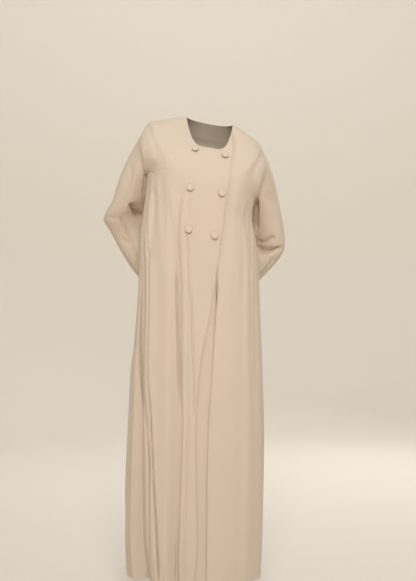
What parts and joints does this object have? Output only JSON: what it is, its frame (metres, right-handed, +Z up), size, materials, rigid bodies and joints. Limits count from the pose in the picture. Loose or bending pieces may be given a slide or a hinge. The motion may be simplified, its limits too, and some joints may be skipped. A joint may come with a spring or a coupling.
{
  "type": "abaya cloak, worn form, double-breasted coat cut",
  "caption": "Full-length double-breasted coat abaya in plain matte crepe, hollow worn form with open neck and hem, both sleeves held behind the back.",
  "frame": {"origin": "middle of the neck's base, where the garment is held up at the shoulders", "axes": "+Z up, front towards -Y, +X towards the garment's left side"},
  "size_m": [0.5755, 0.3469, 1.4326],
  "materials": {
    "front_right_crepe": "matte",
    "front_left_crepe": "matte",
    "back_crepe": "matte",
    "sleeve_crepe": "matte",
    "button_crepe": "matte"
  },
  "bodies": {
    "root": {"front_right": "front_right_crepe", "front_left": "front_left_crepe", "back": "back_crepe", "sleeve_right": "sleeve_crepe", "sleeve_left": "sleeve_crepe", "button_1": "button_crepe", "button_2": "button_crepe", "button_3": "button_crepe", "button_4": "button_crepe", "button_5": "button_crepe", "button_6": "button_crepe"}
  },
  "joints": []
}
